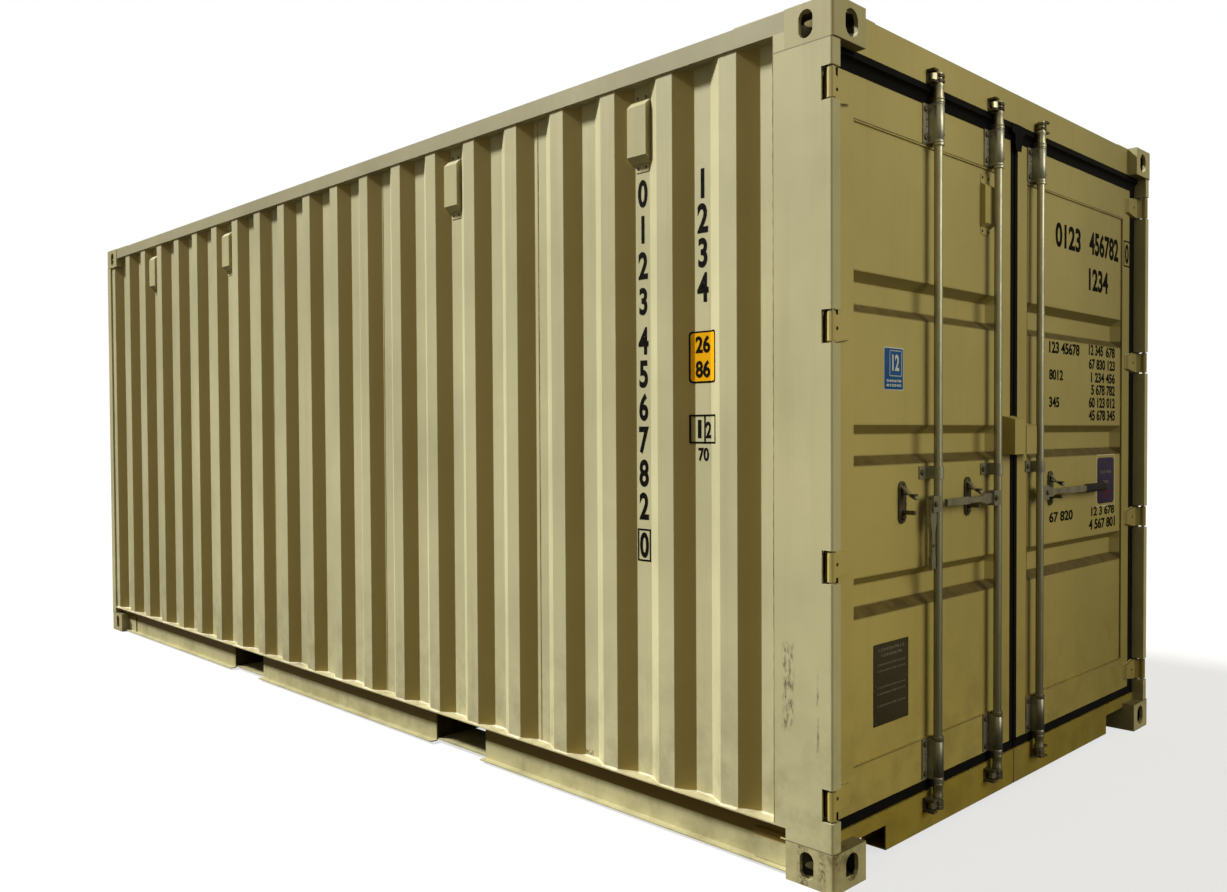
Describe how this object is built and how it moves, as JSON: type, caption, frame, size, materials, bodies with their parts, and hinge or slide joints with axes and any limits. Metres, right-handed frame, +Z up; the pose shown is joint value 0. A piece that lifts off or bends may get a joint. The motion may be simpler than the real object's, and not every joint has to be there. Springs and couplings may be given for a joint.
{
  "type": "shipping container",
  "caption": "Corrugated steel freight container with hinged double doors, turning locking bars with handles, corner castings, fork pockets and a plywood floor.",
  "frame": {"origin": "middle of the footprint, on the underside of the bottom corner castings", "axes": "+X along the length and out of the door end, +Y to the right-hand side as seen from outside the doors, +Z up"},
  "size_m": [6.058, 2.438, 2.591],
  "materials": {
    "container_paint": "satin sand-coloured paint",
    "galvanised_steel": "dull zinc with paint dust",
    "seal_rubber": "matt black",
    "floor_plywood": "oiled hardwood plywood"
  },
  "bodies": {
    "container": {"top_corner_castings": "container_paint", "bottom_door_castings": "container_paint", "bottom_front_castings": "container_paint", "door_corner_posts": "container_paint", "hinge_pins": "galvanised_steel", "front_corner_posts": "container_paint", "top_side_rails": "container_paint", "bottom_side_rails": "container_paint", "door_header": "container_paint", "door_sill": "container_paint", "front_rails": "container_paint", "right_side_wall": "container_paint", "left_side_wall": "container_paint", "front_wall": "container_paint", "roof": "container_paint", "roof_corner_plates": "container_paint", "floor_cross_members": "container_paint", "fork_pocket_frames": "container_paint", "fork_pocket_straps": "container_paint", "floor_boards": "floor_plywood", "floor_centre_rail": "container_paint", "side_ventilators": "container_paint", "top_cam_keepers": "galvanised_steel", "bottom_cam_keepers": "galvanised_steel"},
    "left_door": {"left_door_frame": "container_paint", "left_door_panel": "container_paint", "left_door_gasket": "seal_rubber", "left_hinge_blades": "container_paint", "left_bar_guides": "galvanised_steel", "left_handle_retainers": "galvanised_steel", "left_lock_box": "container_paint", "door_ventilator": "container_paint"},
    "right_door": {"right_door_frame": "container_paint", "right_door_panel": "container_paint", "right_door_gasket": "seal_rubber", "right_hinge_blades": "container_paint", "right_bar_guides": "galvanised_steel", "right_handle_retainer": "galvanised_steel", "right_lock_box": "container_paint"},
    "bar_1": {"locking_bar_1": "galvanised_steel"},
    "bar_2": {"locking_bar_2": "galvanised_steel"},
    "bar_3": {"locking_bar_3": "galvanised_steel"},
    "lever_1": {"handle_1": "galvanised_steel"},
    "lever_2": {"handle_2": "galvanised_steel"},
    "lever_3": {"handle_3": "galvanised_steel"}
  },
  "joints": [
    {"name": "left_door_hinge", "type": "hinge", "parent": "container", "child": "left_door", "pos_m": [3.01, -1.204, 0], "axis": [0, 0, -1], "range_deg": [0, 265]},
    {"name": "right_door_hinge", "type": "hinge", "parent": "container", "child": "right_door", "pos_m": [3.01, 1.204, 0], "axis": [0, 0, 1], "range_deg": [0, 265]},
    {"name": "bar_1_turn", "type": "hinge", "parent": "left_door", "child": "bar_1", "pos_m": [3.008, -0.603, 0], "axis": [0, 0, -1], "range_deg": [-100, 0]},
    {"name": "bar_2_turn", "type": "hinge", "parent": "left_door", "child": "bar_2", "pos_m": [3.008, -0.187, 0], "axis": [0, 0, -1], "range_deg": [-100, 0]},
    {"name": "bar_3_turn", "type": "hinge", "parent": "right_door", "child": "bar_3", "pos_m": [3.008, 0.153, 0], "axis": [0, 0, 1], "range_deg": [-100, 0]},
    {"name": "handle_1_swing", "type": "hinge", "parent": "bar_1", "child": "lever_1", "pos_m": [3.008, -0.641, 1.106], "axis": [-1, 0, 0], "range_deg": [0, 60]},
    {"name": "handle_2_lift", "type": "hinge", "parent": "bar_2", "child": "lever_2", "pos_m": [3.008, -0.225, 1.106], "axis": [-1, 0, 0], "range_deg": [0, 6]},
    {"name": "handle_3_lift", "type": "hinge", "parent": "bar_3", "child": "lever_3", "pos_m": [3.008, 0.191, 1.106], "axis": [1, 0, 0], "range_deg": [0, 6]}
  ]
}
